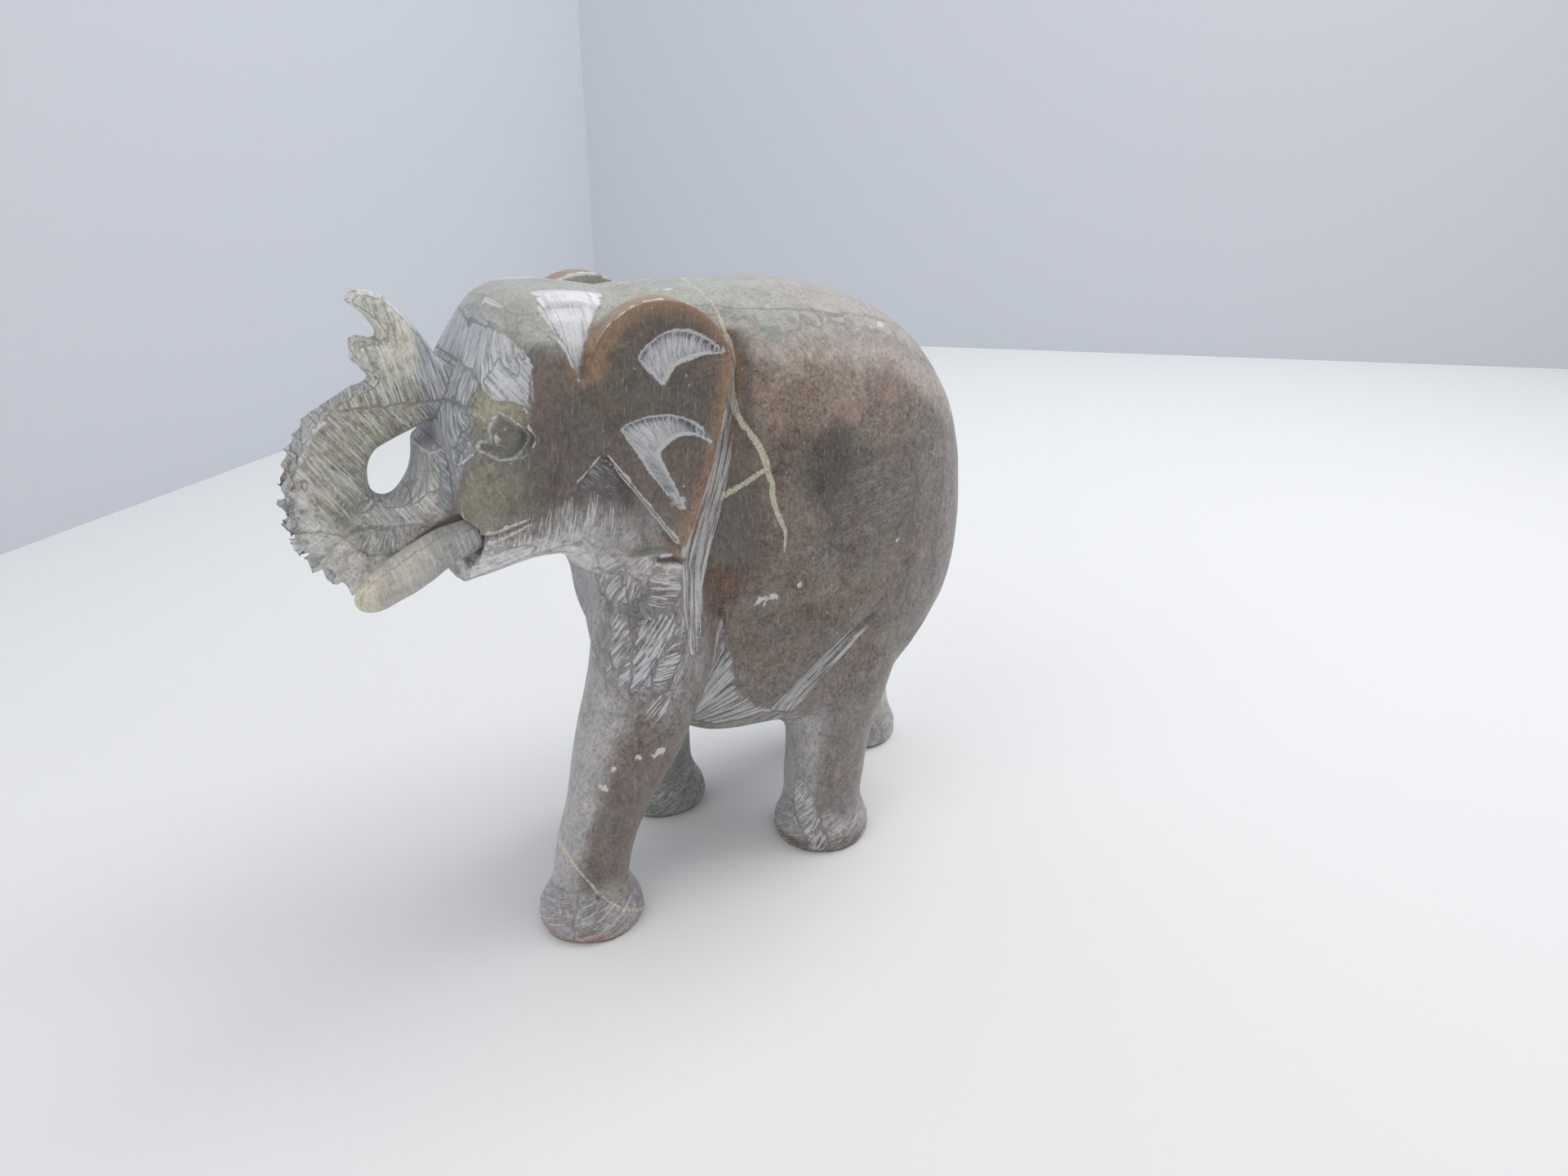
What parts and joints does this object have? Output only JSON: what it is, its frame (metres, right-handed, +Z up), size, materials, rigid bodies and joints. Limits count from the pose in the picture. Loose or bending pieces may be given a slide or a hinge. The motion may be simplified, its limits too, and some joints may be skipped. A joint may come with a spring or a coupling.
{
  "type": "elephant figurine",
  "caption": "Carved soft-stone elephant standing mid-stride, trunk curled up to the forehead round an open loop, heart-shaped ears in relief, pegged tusks.",
  "frame": {"origin": "middle of the elephant's footprint box, level with its four soles", "axes": "+Z up, -Y the way the elephant faces, +X its left side"},
  "size_m": [0.0552, 0.1468, 0.1304],
  "materials": {
    "mottled_stone": "satin, hand rasped and rubbed",
    "pale_stone": "satin, hand rubbed"
  },
  "bodies": {
    "root": {"carved_elephant": "mottled_stone", "tusk_left": "pale_stone", "tusk_right": "pale_stone"}
  },
  "joints": []
}
